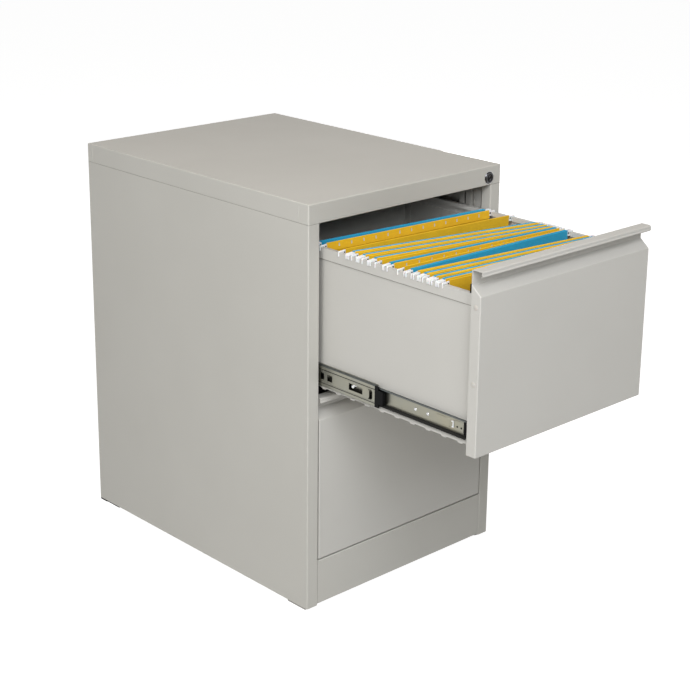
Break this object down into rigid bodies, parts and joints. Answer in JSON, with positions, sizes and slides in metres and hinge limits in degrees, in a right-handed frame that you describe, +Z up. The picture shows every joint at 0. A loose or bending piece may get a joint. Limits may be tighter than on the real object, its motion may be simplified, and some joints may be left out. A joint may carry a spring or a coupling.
{
  "type": "filing cabinet",
  "caption": "Steel filing cabinet with full-extension drawers on ball slides, a cap lock with a locking bar, and an open drawer of coloured hanging files.",
  "frame": {"origin": "centre of the base ring's underside, which is level with the lower edges of the side panels; the feet stand 4 mm lower", "axes": "+X to the right as seen from the front, +Y from the front to the back, +Z up; drawers pull out along -Y"},
  "size_m": [0.46, 0.9719, 0.724],
  "materials": {
    "black_plastic": "moulded, fine grain",
    "blue_card": "dyed kraft card, matte",
    "cage_steel": "plain steel strip, lightly oiled",
    "chrome": "polished chrome plate",
    "drawer_paint": "pale grey powder coat, fine satin texture",
    "hook_plastic": "moulded white nylon",
    "inner_paint": "pale grey powder coat, thinner inside the shell",
    "lock_steel": "zinc plated steel",
    "rail_steel": "dark lacquered strip",
    "shell_paint": "pale grey powder coat, fine satin texture",
    "slide_zinc": "bright zinc plate, drawn steel strip",
    "yellow_card": "dyed kraft card, matte"
  },
  "bodies": {
    "carcass": {"side_panel_left": "shell_paint", "side_panel_right": "shell_paint", "top_cap": "shell_paint", "back_panel": "shell_paint", "base_ring": "inner_paint", "levelling_feet": "black_plastic", "kick_plate": "shell_paint", "front_upright_left": "inner_paint", "front_upright_right": "inner_paint", "rear_upright_left": "inner_paint", "rear_upright_right": "inner_paint", "lock_housing": "chrome", "lock_clip": "lock_steel", "lock_bar_guides": "hook_plastic", "upper_slide_cabinet_member_left": "slide_zinc", "upper_slide_cabinet_member_right": "slide_zinc", "lower_slide_cabinet_member_left": "slide_zinc", "lower_slide_cabinet_member_right": "slide_zinc"},
    "lock_cylinder": {"lock_plug": "chrome", "lock_crank": "lock_steel"},
    "locking_bar": {"lock_bar": "lock_steel"},
    "upper_drawer": {"upper_drawer_front": "drawer_paint", "upper_drawer_inner_front": "drawer_paint", "upper_drawer_side_left": "drawer_paint", "upper_drawer_side_right": "drawer_paint", "upper_drawer_bottom": "drawer_paint", "upper_drawer_back": "drawer_paint", "upper_drawer_buffers": "black_plastic", "upper_drawer_catch": "lock_steel", "upper_slide_drawer_member_left": "slide_zinc", "upper_slide_drawer_member_right": "slide_zinc", "file_cards_blue": "blue_card", "file_cards_yellow": "yellow_card", "file_hooks": "hook_plastic", "file_open_blue": "blue_card", "file_open_yellow": "yellow_card", "file_rails": "rail_steel"},
    "upper_slide_middles": {"upper_slide_middle_member_left": "slide_zinc", "upper_slide_middle_member_right": "slide_zinc", "upper_slide_bumpers": "black_plastic"},
    "upper_slide_outer_cage_pair": {"upper_slide_outer_cages": "cage_steel"},
    "upper_slide_inner_cage_pair": {"upper_slide_inner_cages": "cage_steel"},
    "lower_drawer": {"lower_drawer_front": "drawer_paint", "lower_drawer_inner_front": "drawer_paint", "lower_drawer_side_left": "drawer_paint", "lower_drawer_side_right": "drawer_paint", "lower_drawer_bottom": "drawer_paint", "lower_drawer_back": "drawer_paint", "lower_drawer_buffers": "black_plastic", "lower_drawer_catch": "lock_steel", "lower_slide_drawer_member_left": "slide_zinc", "lower_slide_drawer_member_right": "slide_zinc"},
    "lower_slide_middles": {"lower_slide_middle_member_left": "slide_zinc", "lower_slide_middle_member_right": "slide_zinc", "lower_slide_bumpers": "black_plastic"},
    "lower_slide_outer_cage_pair": {"lower_slide_outer_cages": "cage_steel"},
    "lower_slide_inner_cage_pair": {"lower_slide_inner_cages": "cage_steel"}
  },
  "joints": [
    {"name": "upper_drawer_slide", "type": "slide", "parent": "carcass", "child": "upper_drawer", "axis": [0, -1, 0], "range_m": [-0.35, 0.17]},
    {"name": "upper_slide_middles_travel", "type": "slide", "parent": "carcass", "child": "upper_slide_middles", "axis": [0, -1, 0], "range_m": [-0.175, 0.085]},
    {"name": "upper_slide_outer_cage_pair_travel", "type": "slide", "parent": "carcass", "child": "upper_slide_outer_cage_pair", "axis": [0, -1, 0], "range_m": [-0.0875, 0.0425]},
    {"name": "upper_slide_inner_cage_pair_travel", "type": "slide", "parent": "carcass", "child": "upper_slide_inner_cage_pair", "axis": [0, -1, 0], "range_m": [-0.2625, 0.1275]},
    {"name": "lower_drawer_slide", "type": "slide", "parent": "carcass", "child": "lower_drawer", "axis": [0, -1, 0], "range_m": [0, 0.52]},
    {"name": "lower_slide_middles_travel", "type": "slide", "parent": "carcass", "child": "lower_slide_middles", "axis": [0, -1, 0], "range_m": [0, 0.26]},
    {"name": "lower_slide_outer_cage_pair_travel", "type": "slide", "parent": "carcass", "child": "lower_slide_outer_cage_pair", "axis": [0, -1, 0], "range_m": [0, 0.13]},
    {"name": "lower_slide_inner_cage_pair_travel", "type": "slide", "parent": "carcass", "child": "lower_slide_inner_cage_pair", "axis": [0, -1, 0], "range_m": [0, 0.39]},
    {"name": "lock_bar_lift", "type": "slide", "parent": "carcass", "child": "locking_bar", "axis": [0, 0, 1], "range_m": [-0.00848, 0]},
    {"name": "lock_turn", "type": "hinge", "parent": "carcass", "child": "lock_cylinder", "pos_m": [0.1993, -0.31, 0.699], "axis": [0, 1, 0], "range_deg": [0, 90]}
  ],
  "couplings": [
    {"joint": "upper_slide_middles_travel", "follows": "upper_drawer_slide", "ratio": 0.5},
    {"joint": "upper_slide_outer_cage_pair_travel", "follows": "upper_drawer_slide", "ratio": 0.25},
    {"joint": "upper_slide_inner_cage_pair_travel", "follows": "upper_drawer_slide", "ratio": 0.75},
    {"joint": "lower_slide_middles_travel", "follows": "lower_drawer_slide", "ratio": 0.5},
    {"joint": "lower_slide_outer_cage_pair_travel", "follows": "lower_drawer_slide", "ratio": 0.25},
    {"joint": "lower_slide_inner_cage_pair_travel", "follows": "lower_drawer_slide", "ratio": 0.75},
    {"joint": "lock_turn", "follows": "lock_bar_lift", "rad_per_m": -185.12}
  ]
}
